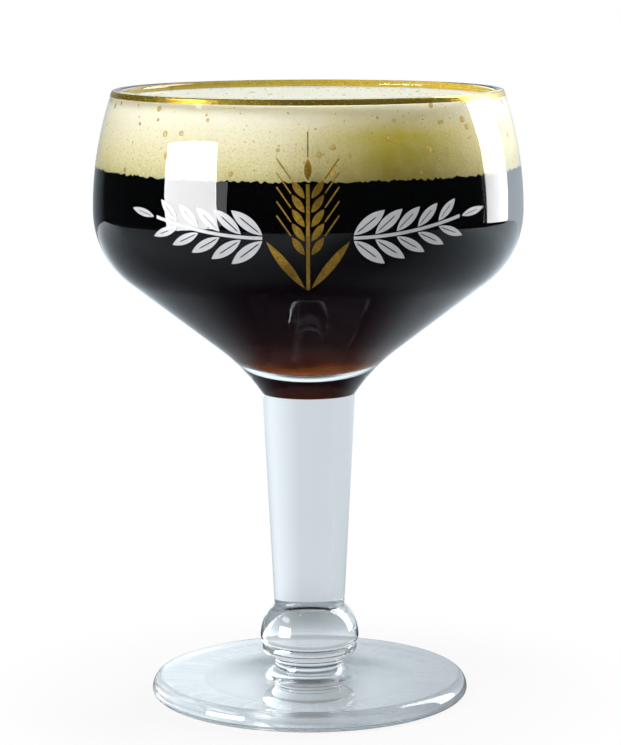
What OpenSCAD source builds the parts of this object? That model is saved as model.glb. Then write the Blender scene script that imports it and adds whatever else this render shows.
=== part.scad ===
// Chalice beer glass: a wide bowl on a solid tapered stem, with a knop, a ring and a round foot.
// The lip is gilded, the front carries a fired gold and white ornament, and the bowl holds
// dark beer under a head of foam. Millimetres, +Z up, origin on the table under the foot's centre.
// The decorated front faces -Y.

/* [Foot] */
// Diameter of the foot
foot_d = 83.5; // [60:0.5:110]
// Thickness of the foot at its flat top
foot_t = 5.3; // [4:0.1:9]
// Height of the foot's widest line above the table
foot_mid_h = 1.9; // [1:0.1:3.5]
// How far the upper edge of the foot rounds in
foot_top_round = 2.7; // [1:0.1:6]
// How far the lower edge of the foot rounds in
foot_under_round = 3; // [1:0.1:8]
// Diameter of the hollow under the foot
recess_d = 56; // [20:1:58]
// Height of the hollow under the foot
recess_h = 1; // [0.3:0.1:2.5]

/* [Neck] */
// Diameter where the neck spreads into the foot
neck_base_d = 26.6; // [22:0.2:40]
// Diameter of the neck's waist
neck_waist_d = 18.2; // [12:0.2:20]
// Height of the sweep from the foot to the waist
neck_lower_h = 3.2; // [1:0.1:8]
// Height of the sweep from the waist to the ring
neck_upper_h = 2.5; // [1:0.1:8]

/* [Ring and knop] */
// Diameter of the joint between the neck and the ring
ring_seat_d = 21.8; // [20:0.2:24]
// Diameter of the ring
ring_d = 25; // [24.6:0.2:30]
// Height of the ring below its widest line
ring_lower_h = 1.6; // [0.8:0.1:4]
// Height of the ring above its widest line
ring_upper_h = 1.4; // [0.8:0.1:4]
// Diameter of the joint between the ring and the knop
knop_seat_d = 24.2; // [20:0.2:24.4]
// Diameter of the knop
knop_d = 26; // [25:0.2:36]
// Height of the knop below its widest line
knop_lower_h = 1.8; // [1:0.1:8]
// Height of the knop above its widest line
knop_upper_h = 8.2; // [4:0.1:15]

/* [Stem] */
// Diameter of the stem at the knop
stem_bottom_d = 18.5; // [12:0.1:24]
// Diameter of the stem at the bowl
stem_top_d = 24.4; // [16:0.1:30]
// Length of the stem
stem_l = 56.8; // [20:0.2:120]

/* [Bowl] */
// Diameter of the bowl at its widest line
bowl_d = 111.6; // [104:0.2:140]
// Diameter of the bowl just below the lip
rim_d = 101.2; // [80:0.2:103]
// Height of the wall from the widest line to the lip
wall_h = 30.4; // [22:0.2:60]
// Thickness of the wall
wall_t = 2.4; // [1.5:0.1:4]
// Rounding of the shoulder below the widest line
shoulder_r = 23.2; // [12:0.2:30]
// Angle of the cone below the shoulder, from the vertical
cone_angle = 52.5; // [45:0.5:60]
// Rounding of the flare between the cone and the stem
flare_r = 51; // [20:1:80]
// Angle of the flare where it leaves the stem, from the vertical
flare_angle = 34; // [20:0.5:40]
// Thickness of the glass between the stem and the hollow
base_t = 8.4; // [4:0.1:12]
// Rounding of the hollow's floor
floor_round = 24; // [14:0.5:28]

/* [Drink] */
// Depth of the beer's surface below the lip
beer_drop = 19; // [12:0.5:40]
// Depth of the foam's edge below the lip
foam_drop = 2.2; // [1.6:0.2:10]
// How far the foam domes up at its middle
foam_dome = 1.2; // [0.5:0.1:4]

/* [Decoration] */
// Thickness of the fired gold and enamel
film_t = 0.12; // [0.05:0.01:0.3]
// Height of the clear glass left above the gold band at the lip
gilt_drop = 0.25; // [0.1:0.05:1]
// Width of the gold band at the lip
gilt_band_w = 1.4; // [0.8:0.1:6]
// Height of the ornament's centre below the bowl's widest line
print_drop = 2; // [-4:0.5:8]
// Length of a barley kernel
kernel_l = 5.2; // [3:0.1:6]
// Width of a barley kernel
kernel_w = 1.8; // [1:0.1:1.9]
// Pairs of kernels in the barley ear
kernel_rows = 5; // [3:1:7]
// Length of the stalk under the ear
stalk_l = 9; // [6:0.5:12]
// Distance from the ornament's middle to the first leaves of a spray
spray_start = 11; // [9:0.5:14]
// Pairs of leaves in each spray
leaf_rows = 5; // [3:1:6]
// Length of the largest leaf
leaf_l = 9.5; // [6:0.1:11]
// Width of the largest leaf
leaf_w = 3.1; // [2:0.1:3.2]

/* [Hidden] */
$fn = 120;
// Degrees between points on a rounded profile
arc_step = 5;

// Heights of the joints, from the table up
ring_z = foot_t + neck_lower_h + neck_upper_h;
knop_z = ring_z + ring_lower_h + ring_upper_h;
stem_z = knop_z + knop_lower_h + knop_upper_h;
bowl_z = stem_z + stem_l;

// The bowl's profile: flare, cone, shoulder and wall run into each other without a corner
belly_r = bowl_d / 2;
cone_top_r = belly_r - shoulder_r * (1 - cos(cone_angle));
cone_bottom_r = stem_top_d / 2 + flare_r * (cos(flare_angle) - cos(cone_angle));
cone_h = (cone_top_r - cone_bottom_r) / tan(cone_angle);
flare_h = flare_r * (sin(cone_angle) - sin(flare_angle));
belly_z = bowl_z + flare_h + cone_h + shoulder_r * sin(cone_angle);
wall_r = swell_r(belly_r, rim_d / 2, wall_h);
lip_angle = swell_angle(belly_r, rim_d / 2, wall_h);
flare_centre = [stem_top_d / 2 + flare_r * cos(flare_angle), bowl_z - flare_r * sin(flare_angle)];
shoulder_centre = [belly_r - shoulder_r, belly_z];
wall_centre = [belly_r - wall_r, belly_z];
lip_r = wall_t / 2;
lip_centre = wall_centre + (wall_r - lip_r) * [cos(lip_angle), sin(lip_angle)];
rim_z = lip_centre.y + lip_r;

// The hollow: a round floor, and a cone that touches the roundings of the floor and the shoulder
floor_z = bowl_z + base_t;
floor_centre = [0, floor_z + floor_round];
inner_shoulder_r = shoulder_r - wall_t;
hollow_run = shoulder_centre - floor_centre;
hollow_angle = acos((floor_round - inner_shoulder_r) / norm(hollow_run)) - atan2(hollow_run.y, hollow_run.x);

// Levels of the drink
beer_z = rim_z - beer_drop;
foam_z = rim_z - foam_drop;
dome_steps = 8;

// The gold at the lip and the ornament on the bowl's front
gilt_z = rim_z - gilt_drop - gilt_band_w;
print_z = belly_z - print_drop;
kernel_tilt = 35;
kernel_pitch = 3.4;
kernel_gap = 0.4;
awn_l = 6;
awn_w = 0.35;
blade_l = 15;
blade_w = 2.2;
blade_tilt = 38;
stalk_w = 0.9;
leaf_pitch = 5.2;
leaf_tilt = 38;
leaf_gap = 0.7;
leaf_taper = 0.4;
vein_w = 0.3;
vein_start = 0.15;
vein_end = 0.7;
twig_w = 0.8;
twig_rise = 0.006;

// Points along an elliptical arc about a centre [radius, height], from angle a0 to angle a1
function arc(centre, rx, rz, a0, a1) =
    let (n = max(2, ceil(abs(a1 - a0) / arc_step)))
    [for (i = [0:n])
        let (a = a0 + (a1 - a0) * i / n)
        [centre.x + rx * cos(a), centre.y + rz * sin(a)]];

// Radius of the arc that is upright at its widest line and leans in to an end radius over a height
function swell_r(widest_r, end_r, h) =
    (h * h + pow(widest_r - end_r, 2)) / (2 * (widest_r - end_r));

// Angle that this arc turns through
function swell_angle(widest_r, end_r, h) = 2 * atan((widest_r - end_r) / h);

// Outer profile of the bowl, from the stem to the lip, grown outwards
function outer_line(grow) = concat(
    arc(flare_centre, flare_r - grow, flare_r - grow, 180 - flare_angle, 180 - cone_angle),
    arc(shoulder_centre, shoulder_r + grow, shoulder_r + grow, -cone_angle, 0),
    arc(wall_centre, wall_r + grow, wall_r + grow, 0, lip_angle));

// Profile of the hollow, from the middle of its floor to the lip
function inner_line() = concat(
    arc(floor_centre, floor_round, floor_round, -90, -hollow_angle),
    arc(shoulder_centre, inner_shoulder_r, inner_shoulder_r, -hollow_angle, 0),
    arc(wall_centre, wall_r - wall_t, wall_r - wall_t, 0, lip_angle));

// The list in reverse order
function reverse(points) = [for (i = [len(points) - 1:-1:0]) points[i]];

// Half section of the hollow
module cavity_outline() {
    polygon(concat(inner_line(), [[0, lip_centre.y]]));
}

// Half section of the whole bowl as if it were solid, grown outwards
module bowl_silhouette(grow) {
    polygon(concat(
        [[0, bowl_z]],
        outer_line(grow),
        arc(lip_centre, lip_r + grow, lip_r + grow, lip_angle, 90),
        [[0, rim_z + grow]]));
}

// Half section of a fired film on the bowl's outside, between two heights
module film_outline(z0, z1) {
    intersection() {
        difference() {
            bowl_silhouette(film_t);
            bowl_silhouette(0);
        }
        translate([0, z0])
            square([bowl_d, z1 - z0]);
    }
}

// A flat motif fired on the bowl's front between two heights
module print_on_bowl(z0, z1) {
    intersection() {
        rotate_extrude()
            film_outline(z0, z1);
        rotate([90, 0, 0])
            linear_extrude(bowl_d)
                translate([0, print_z])
                    children();
    }
}

// A pointed leaf shape that starts at the origin and lies along +Y
module pointed_leaf(l, w) {
    side_r = (l * l + w * w) / (4 * w);
    translate([0, l / 2])
        intersection_for (side = [-1, 1])
            translate([side * (side_r - w / 2), 0])
                circle(side_r);
}

// Barley ear with its stalk, blades and awns, centred on the ornament's middle
module barley_ear() {
    ear_h = kernel_rows * kernel_pitch;
    start = -(stalk_l + ear_h) / 2;
    translate([-stalk_w / 2, start])
        square([stalk_w, stalk_l + ear_h]);
    for (side = [-1, 1]) {
        translate([side * (stalk_w / 2 + kernel_gap), start + kernel_gap])
            rotate(-side * blade_tilt)
                pointed_leaf(blade_l, blade_w);
        for (row = [0:kernel_rows - 1])
            translate([side * (stalk_w / 2 + kernel_gap), start + stalk_l + row * kernel_pitch])
                rotate(-side * kernel_tilt)
                    awned_kernel();
    }
    translate([0, start + stalk_l + ear_h + kernel_gap])
        awned_kernel();
}

// One barley kernel with its awn
module awned_kernel() {
    pointed_leaf(kernel_l, kernel_w);
    translate([-awn_w / 2, kernel_l + kernel_gap])
        square([awn_w, awn_l]);
}

// Place along a spray's twig, and the twig's direction there
function twig_y(x) = twig_rise * (x - spray_start) * (x - spray_start);
function twig_angle(x) = atan(2 * twig_rise * (x - spray_start));

// Leaf spray that runs out to +X from beside the ornament's middle
module leaf_spray() {
    spray_end = spray_start + leaf_rows * leaf_pitch;
    xs = [for (i = [0:leaf_rows]) spray_start + i * leaf_pitch];
    polygon(concat(
        [for (x = xs) [x, twig_y(x) - twig_w / 2]],
        reverse([for (x = xs) [x, twig_y(x) + twig_w / 2]])));
    for (i = [0:leaf_rows - 1], side = [-1, 1]) {
        x = spray_start + i * leaf_pitch;
        size = 1 - leaf_taper * i / leaf_rows;
        translate([x, twig_y(x)])
            rotate(twig_angle(x))
                translate([0, side * leaf_gap])
                    rotate(side * leaf_tilt - 90)
                        veined_leaf(leaf_l * size, leaf_w * size);
    }
    translate([spray_end + leaf_gap, twig_y(spray_end + leaf_gap)])
        rotate(twig_angle(spray_end) - 90)
            veined_leaf(leaf_l * (1 - leaf_taper), leaf_w * (1 - leaf_taper));
}

// A leaf with its middle vein left open
module veined_leaf(l, w) {
    difference() {
        pointed_leaf(l, w);
        translate([-vein_w / 2, l * vein_start])
            square([vein_w, l * (vein_end - vein_start)]);
    }
}

module foot() {
    color("#dfe7ea")
        rotate_extrude()
            polygon(concat(
                [[0, recess_h]],
                [for (i = [1:dome_steps]) recess_point(i / dome_steps)],
                arc([foot_d / 2 - foot_under_round, foot_mid_h], foot_under_round, foot_mid_h, -90, 0),
                arc([foot_d / 2 - foot_top_round, foot_mid_h], foot_top_round, foot_t - foot_mid_h, 0, 90),
                arc([neck_base_d / 2, foot_t + neck_lower_h],
                    (neck_base_d - neck_waist_d) / 2, neck_lower_h, -90, -180),
                arc([ring_seat_d / 2, foot_t + neck_lower_h],
                    (ring_seat_d - neck_waist_d) / 2, neck_upper_h, 180, 90),
                [[0, ring_z]]));
}

// Point on the hollow under the foot, from its middle at 0 to its edge at 1
function recess_point(share) = [recess_d / 2 * share, recess_h * (1 - share * share)];

module ring() {
    widest_z = ring_z + ring_lower_h;
    color("#dfe7ea")
        rotate_extrude()
            polygon(concat(
                [[0, ring_z]],
                arc([ring_seat_d / 2, widest_z], (ring_d - ring_seat_d) / 2, ring_lower_h, -90, 0),
                arc([knop_seat_d / 2, widest_z], (ring_d - knop_seat_d) / 2, ring_upper_h, 0, 90),
                [[0, knop_z]]));
}

module knop() {
    widest_z = knop_z + knop_lower_h;
    top_r = swell_r(knop_d / 2, stem_bottom_d / 2, knop_upper_h);
    top_angle = swell_angle(knop_d / 2, stem_bottom_d / 2, knop_upper_h);
    color("#dfe7ea")
        rotate_extrude()
            polygon(concat(
                [[0, knop_z]],
                arc([knop_seat_d / 2, widest_z], (knop_d - knop_seat_d) / 2, knop_lower_h, -90, 0),
                arc([knop_d / 2 - top_r, widest_z], top_r, top_r, 0, top_angle),
                [[0, stem_z]]));
}

module stem() {
    color("#dfe7ea")
        translate([0, 0, stem_z])
            cylinder(h = stem_l, d1 = stem_bottom_d, d2 = stem_top_d);
}

module bowl() {
    color("#dfe7ea", 0.4)
        rotate_extrude()
            polygon(concat(
                [[0, bowl_z]],
                outer_line(0),
                arc(lip_centre, lip_r, lip_r, lip_angle, lip_angle + 180),
                reverse(inner_line())));
}

module rim_gilding() {
    color("#b8862f")
        rotate_extrude()
            film_outline(gilt_z, gilt_z + gilt_band_w);
}

module ear_gilding() {
    color("#b8862f")
        print_on_bowl(belly_z - shoulder_r, rim_z)
            barley_ear();
}

module leaf_enamel() {
    color("#f4f4f2")
        print_on_bowl(belly_z - shoulder_r, rim_z)
            for (side = [0, 1])
                mirror([side, 0])
                    leaf_spray();
}

module beer() {
    color("#1c0e08")
        rotate_extrude()
            intersection() {
                cavity_outline();
                translate([0, floor_z])
                    square([bowl_d, beer_z - floor_z]);
            }
}

// Height of the foam's domed top at a radius
function foam_top(r) = foam_z + foam_dome * (1 - pow(r / (rim_d / 2), 2));

module foam_head() {
    color("#e6dcae")
        rotate_extrude()
            intersection() {
                cavity_outline();
                polygon(concat(
                    [[0, beer_z], [bowl_d, beer_z], [bowl_d, foam_z]],
                    [for (i = [dome_steps:-1:0])
                        let (r = rim_d / 2 * i / dome_steps)
                        [r, foam_top(r)]]));
            }
}

foot();
ring();
knop();
stem();
bowl();
rim_gilding();
ear_gilding();
leaf_enamel();
beer();
foam_head();
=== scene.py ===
"""Chalice beer glass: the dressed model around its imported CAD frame. Sizes are in millimetres."""

import math

import bpy
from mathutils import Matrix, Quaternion, Vector, noise


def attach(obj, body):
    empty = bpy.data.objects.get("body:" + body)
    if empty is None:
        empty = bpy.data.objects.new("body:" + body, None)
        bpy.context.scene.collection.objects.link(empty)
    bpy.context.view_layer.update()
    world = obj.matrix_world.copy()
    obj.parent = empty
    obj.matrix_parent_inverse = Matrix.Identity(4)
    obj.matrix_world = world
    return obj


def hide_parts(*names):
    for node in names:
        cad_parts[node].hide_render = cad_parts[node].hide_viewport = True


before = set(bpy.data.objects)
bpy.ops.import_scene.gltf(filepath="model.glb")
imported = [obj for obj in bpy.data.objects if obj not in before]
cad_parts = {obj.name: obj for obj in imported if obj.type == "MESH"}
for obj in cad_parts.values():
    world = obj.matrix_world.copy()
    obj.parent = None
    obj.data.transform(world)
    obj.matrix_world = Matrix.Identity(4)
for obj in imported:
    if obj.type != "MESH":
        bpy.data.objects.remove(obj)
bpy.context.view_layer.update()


# Foot: a round plate of soda-lime glass with a rounded edge and a shallow hollow underneath.
# It is pressed in a mould together with the short neck on its middle, fire polished, and fused
# to the ring above it while hot.
MM = 0.001
FOOT_R = 41.75
FOOT_MID_Z = 1.9
FOOT_TOP_Z = 5.3
FOOT_TOP_ROUND = 2.7
FOOT_UNDER_ROUND = 3.0
RECESS_R = 28.0
RECESS_H = 1.0
RECESS_STEPS = 24
NECK_BASE_R = 13.3
NECK_WAIST_R = 9.1
NECK_WAIST_Z = 8.5
RING_SEAT_R = 10.9
RING_Z = 11.0
SCUFF = 0.15


def linear(code):
    """Linear RGBA of an sRGB hex colour."""
    parts = [int(code[i:i + 2], 16) / 255 for i in (1, 3, 5)]
    return (*(c / 12.92 if c <= 0.04045 else ((c + 0.055) / 1.055) ** 2.4 for c in parts), 1.0)


def put(tree, kind, sockets=None, stops=(), **properties):
    """Adds a node, sets its properties and a ramp's stops, and fills its sockets with values or with
    links, which come from other sockets or from the first live output of other nodes."""
    node = tree.nodes.new(kind)
    for name, value in properties.items():
        setattr(node, name, value)
    for key, value in (sockets or {}).items():
        sources = value if isinstance(value, list) else [value]
        if not isinstance(sources[0], (bpy.types.Node, bpy.types.NodeSocket)):
            node.inputs[key].default_value = value
            continue
        for source in sources:
            if isinstance(source, bpy.types.Node):
                source = next(socket for socket in source.outputs if socket.enabled)
            tree.links.new(source, node.inputs[key])
    if stops:
        ramp = node.color_ramp.elements
        while len(ramp) < len(stops):
            ramp.new(1.0)
        for element, (position, colour) in zip(ramp, stops):
            element.position, element.color = position, colour
    return node


def new_material(name):
    """An empty node material, with its tree and the object's own coordinates."""
    material = bpy.data.materials.new(name)
    material.use_nodes = True
    tree = material.node_tree
    tree.nodes.clear()
    return material, tree, put(tree, "ShaderNodeTexCoord").outputs["Object"]


# Soda-lime glass, pressed and fire polished: colourless with a breath of blue, long shallow waves
# that bend reflections a little, faint smears from hands that soften the gloss in patches, and an
# underside that tables have scuffed.
def pressed_glass(name, ior):
    material, tree, place = new_material(name)
    waves = put(tree, "ShaderNodeTexNoise", {"Vector": place, "Scale": 1 / (14 * MM), "Detail": 1.0})
    bump = put(tree, "ShaderNodeBump", {"Height": waves, "Strength": 1.0, "Distance": 0.03 * MM})
    smears = put(tree, "ShaderNodeTexNoise", {"Vector": place, "Scale": 1 / (25 * MM), "Detail": 4.0})
    height = put(tree, "ShaderNodeSeparateXYZ", {0: place}).outputs["Z"]
    scuffs = put(tree, "ShaderNodeMapRange", {
        "Value": height, "From Min": 2.0 * MM, "From Max": 1.0 * MM, "To Min": 0.0, "To Max": SCUFF})
    gloss = put(tree, "ShaderNodeMapRange", {
        "Value": smears, "From Min": 0.45, "From Max": 0.75, "To Min": 0.0, "To Max": 0.02})
    rough = put(tree, "ShaderNodeMath", {0: gloss, 1: scuffs}, operation="ADD")
    tint = put(tree, "ShaderNodeMix", {
        0: waves, 6: linear("#fdfefe"), 7: linear("#f7fafb")}, data_type="RGBA")
    shader = put(tree, "ShaderNodeBsdfPrincipled", {
        "Base Color": tint, "Roughness": rough, "IOR": ior, "Transmission Weight": 1.0, "Normal": bump})
    put(tree, "ShaderNodeOutputMaterial", {"Surface": shader})
    return material


# The wetted side of the wall faces ale and not air, so its index is the ratio of the two.
GLASS_IOR = 1.5
ALE_IOR = 1.34
clear_glass = pressed_glass("pressed_soda_lime_glass", GLASS_IOR)
wetted_glass = pressed_glass("soda_lime_glass_wetted_by_ale", GLASS_IOR / ALE_IOR)

# Inside a fused joint the glass goes on unbroken, so the joint's faces let all light through.
fused_joint, tree, place = new_material("fused_glass_joint")
shader = put(tree, "ShaderNodeBsdfPrincipled", {
    "Base Color": linear("#f3f9fa"), "Alpha": 0.0, "IOR": GLASS_IOR})
put(tree, "ShaderNodeOutputMaterial", {"Surface": shader})


def arc_points(centre, rx, rz, start, end, step=2.5):
    """Points (radius, height) along an elliptical arc, between two angles in degrees."""
    count = max(2, math.ceil(abs(end - start) / step))
    angles = [math.radians(start + (end - start) * i / count) for i in range(count + 1)]
    return [(centre[0] + rx * math.cos(a), centre[1] + rz * math.sin(a)) for a in angles]


def new_tree(name, sockets):
    """An empty geometry node tree with these inputs and one geometry output."""
    tree = bpy.data.node_groups.new(name, "GeometryNodeTree")
    for label, kind in sockets:
        tree.interface.new_socket(label, in_out="INPUT", socket_type="NodeSocket" + kind)
    tree.interface.new_socket("Geometry", in_out="OUTPUT", socket_type="NodeSocketGeometry")
    return tree, put(tree, "NodeGroupInput").outputs


def run_tree(obj, tree, values):
    """Runs a tree on an object and keeps the result as the object's plain mesh."""
    modifier = obj.modifiers.new(tree.name, "NODES")
    modifier.node_group = tree
    for item in tree.interface.items_tree:
        if item.in_out == "INPUT" and item.name in values:
            modifier[item.identifier] = values[item.name]
    before = obj.data
    evaluated = obj.evaluated_get(bpy.context.evaluated_depsgraph_get())
    plain = bpy.data.meshes.new_from_object(evaluated)
    obj.modifiers.remove(modifier)
    obj.data = plain
    bpy.data.meshes.remove(before)
    plain.name = obj.name
    in_use = sorted({face.material_index for face in plain.polygons})
    materials = [plain.materials[i] for i in in_use]
    slots = [in_use.index(face.material_index) for face in plain.polygons]
    plain.materials.clear()
    for material in materials:
        plain.materials.append(material)
    plain.polygons.foreach_set("material_index", slots)
    return obj


def creased(tree, geometry, angle):
    """Shades a form smooth, apart from the edges that turn more than an angle."""
    smooth = put(tree, "GeometryNodeSetShadeSmooth", {"Geometry": geometry, "Shade Smooth": True})
    crease = put(tree, "FunctionNodeCompare", {
        0: put(tree, "GeometryNodeInputMeshEdgeAngle"), 1: angle}, operation="GREATER_THAN")
    return put(tree, "GeometryNodeSetShadeSmooth", {
        "Geometry": smooth, "Selection": crease, "Shade Smooth": False}, domain="EDGE")


# The lathe: a profile in the XZ plane is swept round the Z axis, its poles are closed, and each
# stretch of it takes the material of what it touches.
lathe, given = new_tree("lathe", [
    ("Profile", "Geometry"), ("Segments", "Int"), ("Sharp angle", "Float"),
    ("Wall", "Material"), ("Wetted wall", "Material"), ("Joint", "Material")])
LATHE_R = 0.05
WELD = 0.002 * MM
SHARP = math.radians(30)
corner = put(lathe, "ShaderNodeSeparateXYZ", {0: put(lathe, "GeometryNodeInputPosition")})
inward = put(lathe, "ShaderNodeMath", {0: corner.outputs["X"], 1: LATHE_R}, operation="SUBTRACT")
upright = put(lathe, "ShaderNodeMath", {0: corner.outputs["Z"], 1: -1.0}, operation="MULTIPLY")
section = put(lathe, "ShaderNodeCombineXYZ", {"X": inward, "Y": upright})
profile = put(lathe, "GeometryNodeMeshToCurve", {"Mesh": given["Profile"]})
profile = put(lathe, "GeometryNodeSetPosition", {"Geometry": profile, "Position": section})
circle = put(lathe, "GeometryNodeCurvePrimitiveCircle", {"Resolution": given["Segments"], "Radius": LATHE_R})
turned_form = put(lathe, "GeometryNodeCurveToMesh", {"Curve": circle, "Profile Curve": profile})
turned_form = put(lathe, "GeometryNodeFlipFaces", {"Mesh": turned_form})
turned_form = put(lathe, "GeometryNodeMergeByDistance", {"Geometry": turned_form, "Distance": WELD})
turned_form = creased(lathe, turned_form, given["Sharp angle"])
turned_form = put(lathe, "GeometryNodeRealizeInstances", {"Geometry": turned_form})
turned_form = put(lathe, "GeometryNodeSetMaterial", {"Geometry": turned_form, "Material": given["Wall"]})
for mark, slot_name in (("wetted", "Wetted wall"), ("joint", "Joint")):
    marked = put(lathe, "GeometryNodeInputNamedAttribute", {"Name": mark}, data_type="FLOAT")
    whole_face = put(lathe, "FunctionNodeCompare", {0: marked, 1: 0.99}, operation="GREATER_THAN")
    turned_form = put(lathe, "GeometryNodeSetMaterial", {
        "Geometry": turned_form, "Selection": whole_face, "Material": given[slot_name]})
put(lathe, "NodeGroupOutput", {"Geometry": turned_form})


def turned(name, profile, wall, joint_heights=(), wetted=lambda r, z: False, segments=192):
    """A piece turned from (radius, height) points, its flat joints at the given heights."""
    points = [p for i, p in enumerate(profile) if i == 0 or math.dist(p, profile[i - 1]) > 1e-4]
    mesh = bpy.data.meshes.new(name)
    mesh.from_pydata([(r * MM, 0, z * MM) for r, z in points],
                     [(i, i + 1) for i in range(len(points) - 1)], [])
    marks = {"joint": [float(any(abs(z - h) < 1e-4 for h in joint_heights)) for r, z in points],
             "wetted": [float(wetted(r, z)) for r, z in points]}
    for mark, values in marks.items():
        mesh.attributes.new(mark, "FLOAT", "POINT").data.foreach_set("value", values)
    obj = bpy.data.objects.new(name, mesh)
    bpy.context.scene.collection.objects.link(obj)
    return run_tree(obj, lathe, {"Segments": segments, "Sharp angle": SHARP, "Wall": wall,
                                 "Wetted wall": wetted_glass, "Joint": fused_joint})


recess = [(RECESS_R * i / RECESS_STEPS, RECESS_H * (1 - (i / RECESS_STEPS) ** 2) ** 2)
          for i in range(RECESS_STEPS + 1)]
foot = turned("foot_glass", recess
              + arc_points((FOOT_R - FOOT_UNDER_ROUND, FOOT_MID_Z), FOOT_UNDER_ROUND, FOOT_MID_Z, -90, 0)
              + arc_points((FOOT_R - FOOT_TOP_ROUND, FOOT_MID_Z), FOOT_TOP_ROUND,
                           FOOT_TOP_Z - FOOT_MID_Z, 0, 90)
              + arc_points((NECK_BASE_R, NECK_WAIST_Z), NECK_BASE_R - NECK_WAIST_R,
                           NECK_WAIST_Z - FOOT_TOP_Z, -90, -180)
              + arc_points((RING_SEAT_R, NECK_WAIST_Z), RING_SEAT_R - NECK_WAIST_R,
                           RING_Z - NECK_WAIST_Z, 180, 90)
              + [(0, RING_Z)], clear_glass, [RING_Z])
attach(foot, "root")
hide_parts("foot")


# Ring: a thin bead of the same glass between the neck and the knop.
# It is formed by the mould's parting and stays as a collar when the joint is pressed together.
RING_R = 12.5
RING_WIDE_Z = 12.6
KNOP_SEAT_R = 12.1
KNOP_Z = 14.0
ring = turned("ring_glass", [(0, RING_Z)]
              + arc_points((RING_SEAT_R, RING_WIDE_Z), RING_R - RING_SEAT_R, RING_WIDE_Z - RING_Z, -90, 0)
              + arc_points((KNOP_SEAT_R, RING_WIDE_Z), RING_R - KNOP_SEAT_R, KNOP_Z - RING_WIDE_Z, 0, 90)
              + [(0, KNOP_Z)], clear_glass, [RING_Z, KNOP_Z])
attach(ring, "root")
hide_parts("ring")


# Knop: the swelling under the stem that stops the fingers from slipping.
# Solid pressed glass, rounded in to the stem's lower end.
KNOP_R = 13.0
KNOP_WIDE_Z = 15.8
STEM_BOTTOM_R = 9.25
STEM_Z = 24.0


def swell(widest_r, end_r, height):
    """Radius of an arc that starts upright and leans in to end_r, and the angle it turns through."""
    lean = widest_r - end_r
    return (height ** 2 + lean ** 2) / (2 * lean), 2 * math.degrees(math.atan(lean / height))


knop_arc_r, knop_angle = swell(KNOP_R, STEM_BOTTOM_R, STEM_Z - KNOP_WIDE_Z)
knop = turned("knop_glass", [(0, KNOP_Z)]
              + arc_points((KNOP_SEAT_R, KNOP_WIDE_Z), KNOP_R - KNOP_SEAT_R, KNOP_WIDE_Z - KNOP_Z, -90, 0)
              + arc_points((KNOP_R - knop_arc_r, KNOP_WIDE_Z), knop_arc_r, knop_arc_r, 0, knop_angle)
              + [(0, STEM_Z)], clear_glass, [KNOP_Z, STEM_Z])
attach(knop, "root")
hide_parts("knop")


# Stem: a solid tapered bar of glass, wider at the bowl.
# It is drawn from the gather under the bowl and pressed to shape, then fused to the knop.
STEM_TOP_R = 12.2
BOWL_Z = 80.8
STEM_RINGS = 24
stem_line = [(STEM_BOTTOM_R + (STEM_TOP_R - STEM_BOTTOM_R) * i / STEM_RINGS,
              STEM_Z + (BOWL_Z - STEM_Z) * i / STEM_RINGS) for i in range(STEM_RINGS + 1)]
stem = turned("stem_glass", [(0, STEM_Z)] + stem_line + [(0, BOWL_Z)], clear_glass, [STEM_Z, BOWL_Z])
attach(stem, "root")
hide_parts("stem")


# Bowl: a wide cup of blown glass with a thick base, a straight cone, a round shoulder and a wall
# that leans in to a fire-polished lip. Its base runs into the stem without a break.
BELLY_R = 55.8
RIM_R = 50.6
WALL_H = 30.4
WALL_T = 2.4
SHOULDER_R = 23.2
CONE_ANGLE = 52.5
FLARE_R = 51.0
FLARE_ANGLE = 34.0
BASE_T = 8.4
FLOOR_ROUND = 24.0
cone, flare = math.radians(CONE_ANGLE), math.radians(FLARE_ANGLE)
cone_top_r = BELLY_R - SHOULDER_R * (1 - math.cos(cone))
cone_bottom_r = STEM_TOP_R + FLARE_R * (math.cos(flare) - math.cos(cone))
cone_h = (cone_top_r - cone_bottom_r) / math.tan(cone)
belly_z = BOWL_Z + FLARE_R * (math.sin(cone) - math.sin(flare)) + cone_h + SHOULDER_R * math.sin(cone)
wall_arc_r, lip_angle = swell(BELLY_R, RIM_R, WALL_H)
flare_centre = (STEM_TOP_R + FLARE_R * math.cos(flare), BOWL_Z - FLARE_R * math.sin(flare))
shoulder_centre = (BELLY_R - SHOULDER_R, belly_z)
wall_centre = (BELLY_R - wall_arc_r, belly_z)
lip_r = WALL_T / 2
lip_centre = (wall_centre[0] + (wall_arc_r - lip_r) * math.cos(math.radians(lip_angle)),
              wall_centre[1] + (wall_arc_r - lip_r) * math.sin(math.radians(lip_angle)))
rim_z = lip_centre[1] + lip_r
floor_centre = (0, BOWL_Z + BASE_T + FLOOR_ROUND)
inner_shoulder_r = SHOULDER_R - WALL_T
run_r, run_z = shoulder_centre[0], shoulder_centre[1] - floor_centre[1]
hollow_angle = math.degrees(math.acos((FLOOR_ROUND - inner_shoulder_r) / math.hypot(run_r, run_z))
                            - math.atan2(run_z, run_r))
FOAM_EDGE_Z = rim_z - 2.2
FINE = 1.0


def between(line, low, high):
    """The stretch of a rising line between two heights, cut exactly at both."""
    kept = []
    for (r0, z0), (r1, z1) in zip(line, line[1:]):
        if z1 > z0 and z1 >= low and z0 <= high:
            kept += [(r0 + (r1 - r0) * (z - z0) / (z1 - z0), z) for z in (max(z0, low), min(z1, high))]
    return kept


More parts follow.
